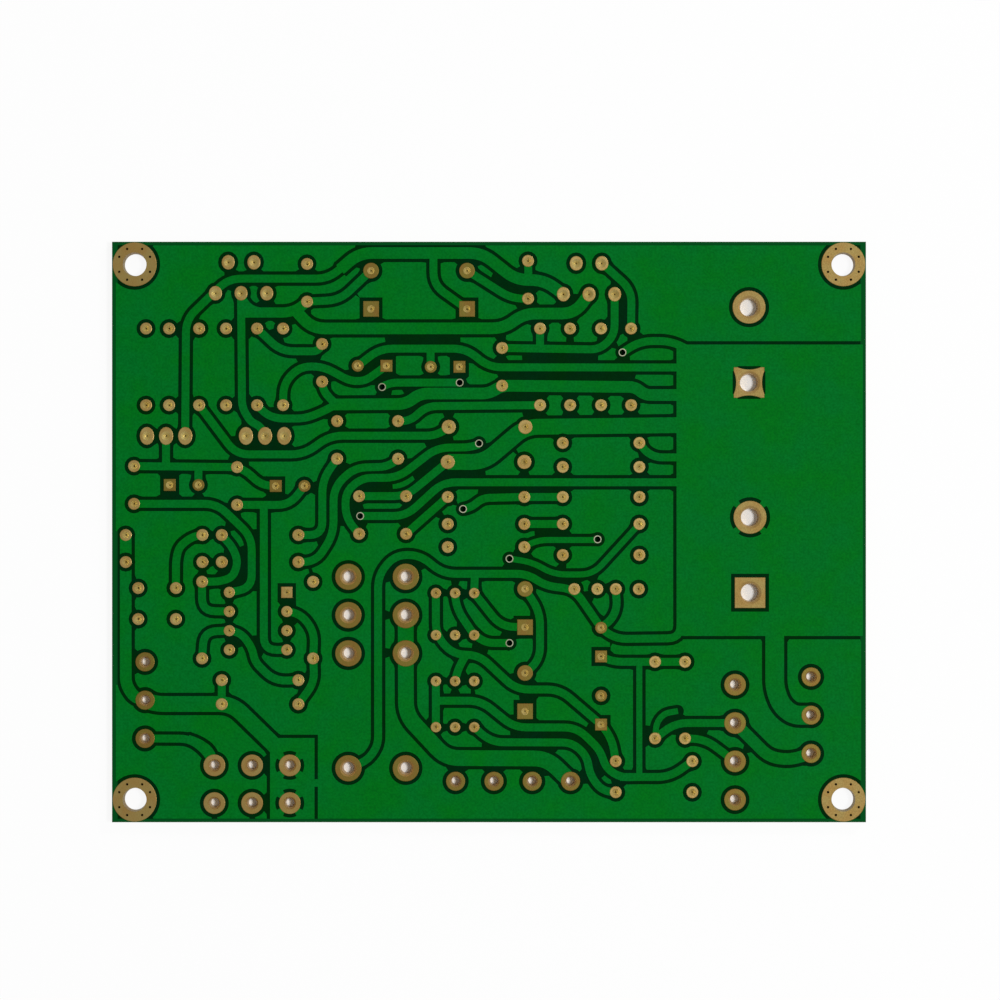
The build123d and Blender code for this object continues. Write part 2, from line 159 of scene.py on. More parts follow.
# Courses of the tracks, as a width and the pixels that it bends at
ROUTES = {
    "amplifier_tracks": [
        (TRACK, [(186, 436), (186, 319.5), (228.4, 278.6), (329, 278.6), (358, 253), (375, 253)]),
        (RAIL, [(340, 269.5), (359, 253), (482, 253), (516, 280), (544, 280), (563.6, 294.6)]),
        (TRACK, [(528.5, 261), (528.5, 280)]),
        (TRACK, [(433.4, 253), (433.4, 285), (467, 310)]),
        (TRACK, [(467.5, 271.5), (512, 299), (528.6, 298.5)]),
        (TRACK, [(371, 271), (340, 300), (306.7, 302)]),
        (TRACK, [(242, 294), (242, 408), (251, 422), (260, 426), (265.3, 436)]),
        (LINK, [(242, 312.5), (295, 312.5), (306.7, 302)]),
        (TRACK, [(242, 294), (245, 308), (262, 312)]),
        (RAIL, [(297, 312), (312, 328.5), (504, 328.3), (524, 313.6), (575, 313.5), (589, 294)]),
        (TRACK, [(256.5, 328.6), (281, 351.3), (319, 351.3), (321.7, 345)]),
        (TRACK, [(282.7, 405), (283.6, 383), (300, 366.5), (323, 366.5), (350, 381), (365, 381), (386, 366)]),
        (TRACK, [(382, 387), (390, 382.6), (460, 382.6)]),
        (TRACK, [(501.5, 349), (600, 349.5), (614.5, 335), (615, 295)]),
        (TRACK, [(540, 349.5), (540, 328)]),
        (TRACK, [(398, 422), (410, 421.5), (426, 406.2), (540, 405.6)]),
        (TRACK, [(602, 264), (631.6, 290), (631.4, 329)]),
    ],
    "regulator_tracks": [
        (TRACK, [(134, 466), (238, 467), (247, 472), (262, 485.5), (275.5, 486)]),
        (TRACK, [(166, 436), (166, 466)]),
        (TRACK, [(198.4, 466.5), (198.4, 485)]),
        (TRACK, [(199, 405), (236, 454.4), (304, 454.4), (330, 435.7), (438, 435.7), (448, 428)]),
        (TRACK, [(479, 444.5), (470, 447.4), (437, 447.6), (398, 477.8), (362, 477.8), (345.5, 492),
                 (345.5, 518), (359, 534)]),
        (TRACK, [(398.3, 458.7), (389, 466.8), (354, 467.6), (333.5, 488), (333.5, 534), (316, 562),
                 (298, 562)]),
        (TRACK, [(336.7, 459.5), (322.3, 480), (322.3, 535), (298, 535)]),
    ],
    "preamplifier_tracks": [
        (TRACK, [(134, 504), (217, 503.8), (251.7, 537), (251.7, 588), (229.7, 592.6)]),
        (TRACK, [(202.5, 535), (192, 536.5), (179, 547), (176, 560), (176, 588.6)]),
        (TRACK, [(221.6, 535), (233, 548), (238, 562), (233, 577), (220, 581.5), (202, 581)]),
        (TRACK, [(202.5, 581), (202, 611), (229, 612.4)]),
        (TRACK, [(229.3, 631), (204, 631.5), (202, 658)]),
        (TRACK, [(229.3, 631), (241, 632.5), (252, 648), (255, 662), (274, 681), (298.4, 680.8)]),
        (TRACK, [(237, 504.7), (290, 505), (304.7, 485.4)]),
        (TRACK, [(263.8, 505), (263.8, 650), (286.4, 650.7)]),
        (TRACK, [(286, 612), (300, 613), (314.5, 632), (313.4, 658), (314.5, 682), (298, 704.4)]),
    ],
    "protection_tracks": [
        (TRACK, [(447.3, 497.6), (405.4, 534.3)]),
        (TRACK, [(463, 509), (471, 507.5), (482.6, 498), (524.5, 496.9), (563, 497)]),
        (TRACK, [(523.6, 524), (563, 524)]),
        (FINE_TRACK, [(524.6, 547), (536, 540), (598, 540)]),
        (FINE_TRACK, [(509.5, 558.7), (532, 562), (554, 574.5), (593, 574.5), (639.5, 524)]),
        (TRACK, [(436, 593), (436, 636), (453, 654.5), (479, 655), (516, 689.5), (560, 689.5), (601, 725.3)]),
        (TRACK, [(466, 655), (458, 668), (455, 682)]),
        (TRACK, [(455.7, 592), (456, 608), (474, 635), (487, 643), (509.5, 643)]),
        (TRACK, [(474.8, 593), (500.8, 626.5), (524.4, 627.6)]),
        (TRACK, [(525, 589), (540, 612), (540, 660), (524, 673)]),
        (TRACK, [(435.8, 681), (435.8, 727.5)]),
        (TRACK, [(436, 700.7), (481, 700.7), (514, 727.4), (577, 727.5), (600, 750), (606, 768),
                 (620, 777.3), (640, 777)]),
        (TRACK, [(474.5, 727.3), (491, 742.3), (572, 742.5), (587, 756), (590, 775), (602, 791),
                 (616.3, 792.3)]),
        (TRACK, [(601, 656.4), (612, 661.8), (655, 661.6), (685.3, 662)]),
        (FINE_TRACK, [(639.3, 661.8), (639.3, 777)]),
        (TRACK, [(620, 777), (670, 777), (692.3, 761.3)]),
        (TRACK, [(601, 725), (612, 738), (616.3, 762)]),
    ],
    "speaker_tracks": [
        (TRACK, [(348, 770), (368, 760), (378.1, 745), (378.1, 575), (395, 555), (420, 555), (443, 573.8),
                 (527, 573.8), (546, 586), (574, 589), (600, 628)]),
        (TRACK, [(474.8, 574), (474.8, 593)]),
        (TRACK, [(616, 589.4), (617, 607), (612, 619), (600, 628)]),
        (POWER, [(405.5, 615), (405.5, 654), (406, 715), (446, 758), (547, 758.5), (570, 781)]),
    ],
    "supply_tracks": [
        (TRACK, [(654.3, 739), (675, 723), (734.7, 722.6)]),
        (FINE_TRACK, [(655, 739), (656.5, 723), (664, 713.5), (678, 711)]),
        (TRACK, [(684.5, 739), (705, 739), (734.6, 761)]),
        (RAIL, [(734.7, 722.6), (769, 757), (790, 760), (810.8, 753)]),
    ],
    "volume_control_area": [
        (RAIL, [(125.7, 535), (125.7, 684), (134, 697), (150, 704), (170, 704)]),
        (POWER, [(144.4, 700), (155, 704), (232, 704), (266, 737), (284, 755)]),
        (TRACK, [(221, 681), (221.4, 704.6)]),
        (TRACK, [(145, 738.6), (189, 738.7), (205, 750), (214.5, 765.4)]),
        (TRACK, [(188, 738.7), (200, 743), (211, 751.5), (214.5, 765.4)]),
    ],
    "star_ground_area": [
        (TRACK, [(622.5, 352.4), (640, 341), (672, 341), (692, 352)]),
        (TRACK, [(357.6, 366), (380, 348.6), (466, 348.6), (489, 367.3), (690, 367.5)]),
        (TRACK, [(430.5, 348.6), (430.5, 366.6)]),
        (TRACK, [(256.8, 405), (270, 418.5), (305, 418.5), (322, 412), (336, 404.5)]),
        (TRACK, [(321.9, 382), (323, 391), (336, 404.5)]),
        (RAIL, [(331, 404.5), (406, 404), (420, 393.5), (489, 393.5), (502, 386.7), (635, 387), (645, 395),
                (690, 395)]),
        (POWER, [(448, 462), (484, 462), (525, 425), (690, 425)]),
        (TRACK, [(448, 462), (406.6, 496.3), (358.5, 496)]),
        (TRACK, [(639.1, 443.3), (650, 457.4), (690, 457.4)]),
        (TRACK, [(360, 516), (406, 516), (443, 482.3), (690, 482.3)]),
        (TRACK, [(600.3, 627.7), (614, 639), (680.5, 638.2), (680.5, 600)]),
        (FEED, [(774.7, 630), (774.7, 688), (781, 705), (793, 715.3), (810.6, 715.3)]),
    ],
}

# Copper areas, as two opposite corners
AREAS = {
    "star_ground_area": [(676.5, 344.5), (863, 636)],
    "volume_control_area": [(270, 738), (314.5, 819)],
}

# Lands that four bridges tie to the copper area round them, with half the angle of each opening
TIES = [((749.7, 382.7), 0), ((750, 517.3), 35), ((290, 765.6), 28), ((290.8, 803.2), 28)]

# Vias, the end of the supply finger and the bridge from the volume control's area to the ground
VIAS = [(622.5, 352.4), (382, 387), (459.7, 382.6), (479, 443.4), (463, 509), (360.2, 516),
        (597.6, 539.3), (509.5, 558.7), (509.5, 643)]
FINGER_END = (677.5, 711.1)
BRIDGE = (314.5, 783)
BRIDGE_HALF = 0.5 * MM
BRIDGE_LAP = MM


def spot(pixel):
    """The place on the board of a point of the photograph."""
    return Vector(((pixel[0] - MIDDLE_PIXEL[0]) * PIXEL, (MIDDLE_PIXEL[1] - pixel[1]) * PIXEL, 0))


# Modelling by hand
def pick(*pieces):
    """Selects these pieces alone, the first of them active."""
    bpy.ops.object.select_all(action="DESELECT")
    for piece in pieces:
        piece.select_set(True)
    bpy.context.view_layer.objects.active = pieces[0]


def finished(kind, piece, **settings):
    """Adds a modifier and applies it."""
    modifier = piece.modifiers.new(kind, kind)
    for name, value in settings.items():
        setattr(modifier, name, value)
    pick(piece)
    bpy.ops.object.modifier_apply(modifier=modifier.name)
    return piece


def joined(pieces):
    """Joins pieces into the first of them."""
    pick(*pieces)
    if len(pieces) > 1:
        bpy.ops.object.join()
    return pieces[0]


def copied(piece, place):
    """A copy with its own mesh, moved to a place."""
    twin = piece.copy()
    twin.data = piece.data.copy()
    twin.data.transform(Matrix.Translation(place))
    bpy.context.scene.collection.objects.link(twin)
    return twin


def removed(*pieces):
    for piece in pieces:
        bpy.data.objects.remove(piece)


def seated(name):
    """Puts the active piece's place into its mesh."""
    piece = bpy.context.object
    piece.name = name
    pick(piece)
    bpy.ops.object.transform_apply(location=True, rotation=True, scale=True)
    return piece


def prism(name, outline, low, high):
    """An upright prism on an outline."""
    mesh = bpy.data.meshes.new(name)
    mesh.from_pydata([(p.x, p.y, low) for p in outline], [], [range(len(outline))])
    piece = bpy.data.objects.new(name, mesh)
    bpy.context.scene.collection.objects.link(piece)
    return finished("SOLIDIFY", piece, thickness=high - low, offset=1)


def pillar(name, place, width, length, low, high, sides, square=False):
    """An upright prism that is round, oval or square."""
    centre = (place[0], place[1], (low + high) / 2)
    if square:
        bpy.ops.mesh.primitive_cube_add(size=1, location=centre, scale=(width, length, high - low))
    else:
        bpy.ops.mesh.primitive_cylinder_add(
            vertices=sides, radius=0.5, depth=1, location=centre, scale=(width, length, high - low))
    return seated(name)


def cone(name, place, low_width, high_width, low, high, sides):
    """An upright cone without its tip."""
    centre = (place[0], place[1], (low + high) / 2)
    bpy.ops.mesh.primitive_cone_add(
        vertices=sides, radius1=low_width / 2, radius2=high_width / 2, depth=high - low, location=centre)
    return seated(name)


def cut(piece, tools):
    """Cuts a piece with others, one by one."""
    for tool in tools:
        finished("BOOLEAN", piece, operation="DIFFERENCE", object=tool, solver="MANIFOLD")


def rim_edges(piece, height):
    """Selects the edges between the faces at a height and the walls below them, in edit mode."""
    mesh = piece.data
    tops = set()
    walls = set()
    for face in mesh.polygons:
        flat = all(abs(mesh.vertices[v].co.z - height) < FIT for v in face.vertices)
        (tops if flat else walls).update(face.edge_keys)
    rims = tops & walls
    pick(piece)
    bpy.ops.object.mode_set(mode="EDIT")
    bpy.ops.mesh.select_mode(type="EDGE")
    bpy.ops.mesh.select_all(action="DESELECT")
    bpy.ops.object.mode_set(mode="OBJECT")
    for edge in mesh.edges:
        edge.select = edge.key in rims
    bpy.ops.object.mode_set(mode="EDIT")


def rounded_rim(piece, height, size, segments=2):
    """Rounds the upper edges of a piece."""
    rim_edges(piece, height)
    bpy.ops.mesh.bevel(offset=size, segments=segments, affect="EDGES", clamp_overlap=True)
    bpy.ops.object.mode_set(mode="OBJECT")


class Groups:
    """Members that are joined step by step into groups, each known by one of its own."""

    def __init__(self, members):
        self.parent = {member: member for member in members}

    def head(self, member):
        while self.parent[member] != member:
            self.parent[member] = self.parent[self.parent[member]]
            member = self.parent[member]
        return member

    def join(self, first, second):
        self.parent[self.head(second)] = self.head(first)


# Lands of the CAD model
def islands(node):
    """The middle, width and length of each separate solid of a node."""
    mesh = frame["nodes"][node].data
    keys = [tuple(round(c / FIT) for c in v.co) for v in mesh.vertices]
    groups = Groups(keys)
    for face in mesh.polygons:
        for corner in face.vertices[1:]:
            groups.join(keys[face.vertices[0]], keys[corner])
    found = {}
    for key in groups.parent:
        found.setdefault(groups.head(key), []).append((key[0] * FIT, key[1] * FIT))
    spans = []
    for corners in found.values():
        xs, ys = zip(*corners)
        middle = Vector(((max(xs) + min(xs)) / 2, (max(ys) + min(ys)) / 2, 0))
        spans.append((middle, max(xs) - min(xs), max(ys) - min(ys)))
    return spans


Land = namedtuple("Land", "node place width length square")
lands = []
for node in LEAD_HOLES:
    for place, width, length in islands(node):
        square = abs(width - length) < FIT * 10
        # Round lands have six sides in the CAD model, and measure more across their corners
        if not square:
            length *= math.cos(math.pi / 6)
        lands.append(Land(node, place, width, length, square))


def land_under(point):
    """The land that a point falls on, if there is one."""
    near = min(lands, key=lambda land: (land.place - point).length)
    return near if (near.place - point).length < near.width / 2 else None


def course(pixels):
    """The points of a track, each drawn to the centre of a land that it falls on."""
    points = [spot(pixel) for pixel in pixels]
    under = [land_under(point) for point in points]
    return [land.place if land else point for land, point in zip(under, points)]


# Outlines in the board's plane
def turned(points):
    """The course with each bend drawn as an arc."""
    smooth = [points[0]]
    for i, corner in enumerate(points[1:-1], 1):
        back = points[i - 1] - corner
        ahead = points[i + 1] - corner
        back_share = END_SHARE if i == 1 else BEND_SHARE
        ahead_share = END_SHARE if i == len(points) - 2 else BEND_SHARE
        room = min(BEND, back_share * back.length, ahead_share * ahead.length)
        start = corner + back.normalized() * room
        end = corner + ahead.normalized() * room
        for step in range(BEND_STEPS + 1):
            share = step / BEND_STEPS
            smooth.append(start.lerp(corner, share).lerp(corner.lerp(end, share), share))
    return smooth + [points[-1]]


def strip(points, width):
    """The outline of a track of even width."""
    left = []
    right = []
    for i, point in enumerate(points):
        into = (point - points[i - 1]) if i else points[1] - point
        out = (points[i + 1] - point) if i + 1 < len(points) else into
        into = into.normalized()
        mean = (into + out.normalized()).normalized()
        side = Vector((-mean.y, mean.x, 0)) * (width / 2 / mean.dot(into))
        left.append(point + side)
        right.append(point - side)
    return left + right[::-1]


def oval(place, width, length, sides):
    turns = [math.tau * i / sides for i in range(sides)]
    return [place + Vector((math.cos(a) * width / 2, math.sin(a) * length / 2, 0)) for a in turns]


def oblong(low, high):
    return [Vector((low[0], low[1], 0)), Vector((high[0], low[1], 0)),
            Vector((high[0], high[1], 0)), Vector((low[0], high[1], 0))]


def land_outline(land, sides, margin=0):
    """The outline of a land, with a margin round it."""
    half = Vector((land.width / 2 + margin, land.length / 2 + margin, 0))
    if land.square:
        return oblong(land.place - half, land.place + half)
    return oval(land.place, 2 * half.x, 2 * half.y, sides)


def scalloped(place, side, chord, depth):
    """The outline of a square land with a hollow in each side."""
    half = side / 2
    reach = (chord * chord / 4 + depth * depth) / (2 * depth)
    spread = math.asin(chord / 2 / reach)
    points = []
    for quarter in range(4):
        turn = Matrix.Rotation(math.pi / 2 * quarter, 4, "Z")
        points.append(place + turn @ Vector((half, -half, 0)))
        for step in range(ARC_STEPS + 1):
            angle = math.pi + spread * (1 - 2 * step / ARC_STEPS)
            hollow = Vector((half - depth + reach + reach * math.cos(angle), reach * math.sin(angle), 0))
            points.append(place + turn @ hollow)
    return points


def opening(place, inner, outer, middle, spread):
    """The outline of a stretch of the ring round a tied land."""
    shares = [2 * step / ARC_STEPS - 1 for step in range(ARC_STEPS + 1)]
    turns = [math.radians(middle + spread * share) for share in shares]
    rays = [Vector((math.cos(a), math.sin(a), 0)) for a in turns]
    return [place + ray * outer for ray in rays] + [place + ray * inner for ray in rays[::-1]]


def sampled(outline):
    """Points at even steps round an outline."""
    points = []
    for start, end in zip(outline, outline[1:] + outline[:1]):
        count = max(1, round((end - start).length / NECK_STEP))
        points += [start.lerp(end, i / count) for i in range(count)]
    return points


def holds(outline, point):
    """Whether a point lies within an outline."""
    within = False
    for start, end in zip(outline, outline[1:] + outline[:1]):
        if (start.y > point.y) != (end.y > point.y):
            if point.x < start.x + (point.y - start.y) / (end.y - start.y) * (end.x - start.x):
                within = not within
    return within


def bare_shores(etched, ground):
    """Points round the etched outlines and the ground's, where no other outline covers them."""
    spans = []
    for outline in etched:
        xs = [p.x for p in outline]
        ys = [p.y for p in outline]
        spans.append((min(xs), max(xs), min(ys), max(ys)))
    shores = []
    for owner, outline in enumerate(etched + [ground]):
        for turn, point in enumerate(sampled(outline)):
            covered = any(
                other != owner and low_x < point.x < high_x and low_y < point.y < high_y
                and holds(etched[other], point)
                for other, (low_x, high_x, low_y, high_y) in enumerate(spans))
            if not covered:
                shores.append((owner, turn, point))
    return shores


def necks(etched, ground):
    """The places that are too narrow for the ground copper, as a row of triangles each."""
    shores = bare_shores(etched, ground)
    tree = kdtree.KDTree(len(shores))
    for i, (owner, turn, point) in enumerate(shores):
        tree.insert(point, i)
    tree.balance()
    found = []
    last = {}
    for owner, turn, point in shores:
        across = {}
        for far, i, distance in tree.find_range(point, NARROWEST):
            other = shores[i][0]
            if other == len(etched) and distance > MARGIN_NARROWEST:
                continue
            if other > owner and distance > FIT and (other not in across or distance < across[other][0]):
                lap = (far - point).normalized() * NECK_LAP
                across[other] = (distance, point - lap, far + lap, turn)
        for other, (_, near, far, _) in across.items():
            if other in last.get(owner, {}) and last[owner][other][3] == turn - 1:
                _, near_before, far_before, _ = last[owner][other]
                for corners in ([near_before, near, far], [near_before, far, far_before]):
                    longest = max((a - b).length for a, b in zip(corners, corners[1:] + corners[:1]))
                    if geometry.area_tri(*corners) > NECK_SLIVER * longest:
                        found.append(corners)
        last = {owner: across}
    return found


def large_ones(points, faces):
    """The faces without those of islands too small to be etched."""
    groups = Groups(range(len(points)))
    for face in faces:
        for corner in face[1:]:
            groups.join(face[0], corner)
    area = {}
    for face in faces:
        head = groups.head(face[0])
        area[head] = area.get(head, 0) + geometry.area_tri(*(points[i] for i in face))
    return [face for face in faces if area[groups.head(face[0])] > SMALLEST_ISLAND]


class Drawing:
    """Overlapping outlines, told apart by what they stand for."""

    def __init__(self):
        self.outlines = []
        self.marks = []

    def draw(self, mark, outline):
        area = sum(a.x * b.y - b.x * a.y for a, b in zip(outline, outline[1:] + outline[:1]))
        self.outlines.append(outline if area > 0 else outline[::-1])
        self.marks.append(mark)

    def divide(self):
        """Splits the outlines into triangles that each know the marks they lie under."""
        corners = []
        loops = []
        for outline in self.outlines:
            loops.append(list(range(len(corners), len(corners) + len(outline))))
            corners += [Vector((p.x / MM, p.y / MM)) for p in outline]
        found = geometry.delaunay_2d_cdt(corners, [], loops, 1, CLOSEST_CORNERS, True)
        self.points = found[0]
        self.triangles = [(face, {self.marks[i] for i in under}) for face, under in zip(found[2], found[5])]

    def parted(self, faces):
        """The points and faces, with faces that meet at a single point drawn apart there."""
        points = [Vector(p) for p in self.points]
        faces = [list(face) for face in faces]
        around = {}
        for i, face in enumerate(faces):
            for corner in face:
                around.setdefault(corner, []).append(i)
        for corner, members in around.items():
            fans = []
            for i in members:
                rest = set(faces[i]) - {corner}
                beside = [fan for fan in fans if fan[0] & rest]
                fans = [fan for fan in fans if not fan[0] & rest]
                around_fan = rest.union(*(fan[0] for fan in beside))
                fans.append((around_fan, [i] + [n for fan in beside for n in fan[1]]))
            for rest, own in fans[1:]:
                centre = sum((points[n] for n in rest), Vector((0, 0))) / len(rest)
                points.append(points[corner].lerp(centre, PARTING))
                for i in own:
                    faces[i] = [len(points) - 1 if n == corner else n for n in faces[i]]
        return points, faces

    def plate(self, name, inside, outside, low, high, rim=0):
        """A plate on what lies inside some marks and outside others, drawn in millimetres."""
        chosen = [face for face, under in self.triangles if under & inside and not under & outside]
        points, chosen = self.parted(chosen)
        chosen = large_ones(points, chosen)
        mesh = bpy.data.meshes.new(name)
        mesh.from_pydata([(p.x, p.y, low / MM) for p in points], [], chosen)
        piece = bpy.data.objects.new(name, mesh)
        bpy.context.scene.collection.objects.link(piece)
        pick(piece)
        bpy.ops.object.mode_set(mode="EDIT")
        bpy.ops.mesh.select_all(action="SELECT")
        bpy.ops.mesh.delete_loose()
        bpy.ops.mesh.select_all(action="SELECT")
        bpy.ops.mesh.dissolve_limited(angle_limit=FLAT)
        bpy.ops.object.mode_set(mode="OBJECT")
        finished("SOLIDIFY", piece, thickness=(high - low) / MM, offset=1)
        if rim:
            rounded_rim(piece, high / MM, rim / MM, 1)
        mesh.transform(Matrix.Scale(MM, 4))
        return piece


# Shader maths
class Wire:
    """A shader socket that takes part in sums."""

    def __init__(self, bench, socket):
        self.bench = bench
        self.socket = socket

    def sum(self, operation, first, second):
        return self.bench.add("ShaderNodeMath", {"operation": operation}, {0: first, 1: second})

    def __add__(self, other):
        return self.sum("ADD", self, other)

    __radd__ = __add__

    def __mul__(self, other):
        return self.sum("MULTIPLY", self, other)

    __rmul__ = __mul__

    def __gt__(self, other):
        return self.sum("GREATER_THAN", self, other)

    def __abs__(self):
        return self.sum("ABSOLUTE", self, 0)


class Bench:
    """The nodes of a finish, with its material."""

    def __init__(self, name):
        self.material = bpy.data.materials.new(name)
        self.material.use_nodes = True
        self.tree = self.material.node_tree
        self.tree.nodes.clear()
        self.place = self.add("ShaderNodeTexCoord", {}, {}, "Object")

    def add(self, kind, settings, sockets, output=0):
        """A node with its settings and sockets, as one of its outputs."""
        node = self.tree.nodes.new(kind)
        for name, value in settings.items():
            setattr(node, name, value)
        for name, value in sockets.items():
            if isinstance(value, Wire):
                self.tree.links.new(value.socket, node.inputs[name])
            else:
                node.inputs[name].default_value = value
        return Wire(self, node.outputs[output]) if len(node.outputs) else None

    def along(self, axis):
        """The place along an axis of the board."""
        return self.add("ShaderNodeSeparateXYZ", {}, {"Vector": self.place}, axis)

    def higher(self, first, second):
        return self.add("ShaderNodeMath", {"operation": "MAXIMUM"}, {0: first, 1: second})

    def noise(self, scale, detail=3, stretch=(1, 1, 1)):
        where = self.add("ShaderNodeMapping", {}, {"Vector": self.place, "Scale": stretch})
        return self.add("ShaderNodeTexNoise", {}, {"Vector": where, "Scale": scale, "Detail": detail}, "Fac")

    def ramp(self, value, low, high):
        """The value spread so that low becomes 0 and high becomes 1."""
        return self.add("ShaderNodeMapRange", {"clamp": True},
                        {"Value": value, "From Min": low, "From Max": high})

    def mix(self, factor, first, second):
        return self.add("ShaderNodeMix", {"data_type": "RGBA"}, {0: factor, 6: first, 7: second}, 2)

    def bump(self, height, depth, strength):
        sockets = {"Height": height, "Distance": depth, "Strength": strength}
        return self.add("ShaderNodeBump", {}, sockets, "Normal")

    def done(self, **sockets):
        named = {name.replace("_", " "): value for name, value in sockets.items()}
        shader = self.add("ShaderNodeBsdfPrincipled", {}, named)
        self.add("ShaderNodeOutputMaterial", {}, {"Surface": shader})
        return self.material


# How far the tint of the margin reaches in from the ends, and over what width it fades
END_REACH = 0.5 * MM
FADE = 0.1 * MM


def lacquer(name, blue, yellow, dark, margin, reach):
    """Green lacquer whose tint drifts over the board, finely mottled, with its own tint at the margin."""
    bench = Bench(name)
    drift = bench.ramp(bench.noise(230, 3), 0.34, 0.66)
    mottle = bench.ramp(bench.noise(1300, 4), 0.3, 0.7)
    fleck = bench.ramp(bench.noise(3600, 2), 0.4, 0.6)
    tint = bench.mix(drift, blue, yellow)
    colour = bench.mix(mottle * 0.25 + fleck * 0.35, tint, dark)
    side = bench.ramp(abs(bench.along("X")), BOARD_HIGH.x - reach, BOARD_HIGH.x - reach + FADE)
    end = bench.ramp(abs(bench.along("Y")), BOARD_HIGH.y - END_REACH, BOARD_HIGH.y - END_REACH + FADE)
    colour = bench.mix(bench.higher(side, end), colour, margin)
    return bench.done(
        Base_Color=colour,
        Roughness=bench.noise(700, 3) * 0.2 + 0.3,
        Specular_IOR_Level=0.008,
        Normal=bench.bump(bench.noise(1100, 3), 0.02 * MM, 0.3),
    )


copper_lacquer = lacquer(
    "green_lacquer_on_copper",
    blue=(0.001, 0.142, 0.018, 1),
    yellow=(0.001, 0.147, 0.009, 1),
    dark=(0.0, 0.080, 0.007, 1),
    margin=(0.001, 0.118, 0.016, 1),
    reach=0.5 * MM,
)
laminate_lacquer = lacquer(
    "green_lacquer_on_laminate",
    blue=(0.0, 0.019, 0.005, 1),
    yellow=(0.0, 0.021, 0.002, 1),
    dark=(0.0, 0.013, 0.002, 1),
    margin=(0.001, 0.060, 0.010, 1),
    reach=0.78 * MM,
)


def glass_epoxy():
    """The sawn edge, with its layers of glass cloth."""
    bench = Bench("glass_epoxy_edge")
    layers = bench.ramp(bench.noise(1, 3, (900, 900, 6000)), 0.3, 0.7)
    grain = bench.ramp(bench.noise(3000, 3), 0.3, 0.7)
    colour = bench.mix(layers, (0.20, 0.22, 0.06, 1), (0.34, 0.34, 0.13, 1))
    colour = bench.mix(grain * 0.35, colour, (0.10, 0.12, 0.03, 1))
    return bench.done(
        Base_Color=colour,
        Roughness=grain * 0.2 + 0.55,
        Normal=bench.bump(layers, 0.03 * MM, 0.5),
    )


def gold(name, pale, brown, share, matt=0.3):
    """Thin gold with brown stains and a fine grain."""
    bench = Bench(name)
    stain = bench.ramp(bench.noise(520, 4), 0.38, 0.62)
    grain = bench.ramp(bench.noise(5200, 3), 0.3, 0.7)
    colour = bench.mix(stain * share, pale, brown)
    colour = bench.mix(grain * 0.25, colour, (0.16, 0.10, 0.02, 1))
    return bench.done(
        Base_Color=colour,
        Metallic=0.6,
        Roughness=grain * 0.16 + matt,
        Specular_IOR_Level=0.2,
        Normal=bench.bump(grain, 0.01 * MM, 0.4),
    )


pale_gold = gold("pale_gold_plating", (0.38, 0.275, 0.095, 1), (0.31, 0.19, 0.05, 1), 0.8)
brown_gold = gold("brown_gold_plating", (0.145, 0.118, 0.018, 1), (0.165, 0.095, 0.017, 1), 0.9, 0.38)
tan_gold = gold("tan_gold_plating", (0.255, 0.185, 0.058, 1), (0.255, 0.152, 0.040, 1), 0.8, 0.44)
# The plated walls of the holes are painted much paler than the lands' own gold: painted light against the
# shade inside the holes
hole_wall_gold_painted_light = gold("plated_hole_walls_painted_light", (0.58, 0.48, 0.19, 1), (0.47, 0.36, 0.115, 1), 0.7)
wide_hole_wall_gold_painted_light = gold("wide_plated_hole_walls_painted_light", (0.55, 0.38, 0.14, 1), (0.45, 0.27, 0.08, 1), 0.6)
bright_tin = gold("tinned_collars", (0.40, 0.42, 0.30, 1), (0.25, 0.28, 0.18, 1), 0.8)
LAND_FINISHES = {
    "relay_lands": brown_gold,
    "terminal_lands": brown_gold,
    "electrolytic_lands": brown_gold,
    "rectifier_lands": brown_gold,
    "volume_control_lands": tan_gold,
    "filter_capacitor_lands": tan_gold,
}


def dressed(piece, finish, smooth=True):
    """Gives a piece its finish, unless it has it already, and lets it ride on the board."""
    if finish.name not in piece.data.materials:
        piece.data.materials.clear()
        piece.data.materials.append(finish)
    pick(piece)
    if smooth:
        bpy.ops.object.shade_smooth_by_angle(angle=SHARP)
    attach(piece, "root")


# Tracks and copper areas, drawn with what is etched round them
drawing = Drawing()
drawing.draw("board", oblong(BOARD_LOW, BOARD_HIGH))
drawing.draw("ground_area", oblong(GROUND_LOW, GROUND_HIGH))
for node, table in ROUTES.items():
    for width, pixels in table:
        points = turned(course(pixels))
        drawing.draw(node, strip(points, width))
        drawing.draw("etched", strip(points, width + 2 * ISOLATION_GAP))
for node, (first, last) in AREAS.items():
    low = spot((first[0], last[1]))
    high = spot((last[0], first[1]))
    gap = Vector((ISOLATION_GAP, ISOLATION_GAP, 0))
    drawing.draw(node, oblong(low, high))
    drawing.draw("etched", oblong(low - gap, high + gap))
clearing = FINE_TRACK + 2 * ISOLATION_GAP
drawing.draw("etched", oval(spot(FINGER_END), clearing, clearing, CLEARING_SIDES))
bridge = spot(BRIDGE)
drawing.draw("volume_control_area", oblong(
    bridge - Vector((BRIDGE_LAP, BRIDGE_HALF, 0)), bridge + Vector((ISOLATION_GAP, BRIDGE_HALF, 0))))

# Lands, with funnels for the small leads and bowls for the wide ones
FILTER_SQUARE = 4.08 * MM
WIDE_LAND = 2 * MM
SMALL_HOLE = 1.2 * MM
FUNNEL_BORE = 0.2 * MM
FUNNEL_DEPTH = 0.45 * MM
FUNNEL_BRIM = 1.14
BOWL_DEPTH = 0.35 * MM
BOWL_BRIM = 1.25
BRIM_RISE = 0.03 * MM
FLARE_SHARE = 0.9
INLET_SHARE = 1.03
OUTLET_SHARE = 0.7
FILTER_OUTLET_SHARE = 0.85
BARREL_SHARE = 0.65
SCALLOP = 23 * PIXEL
SCALLOP_DEPTH = 2.3 * PIXEL
SLIT_DEPTH = 4 * PIXEL


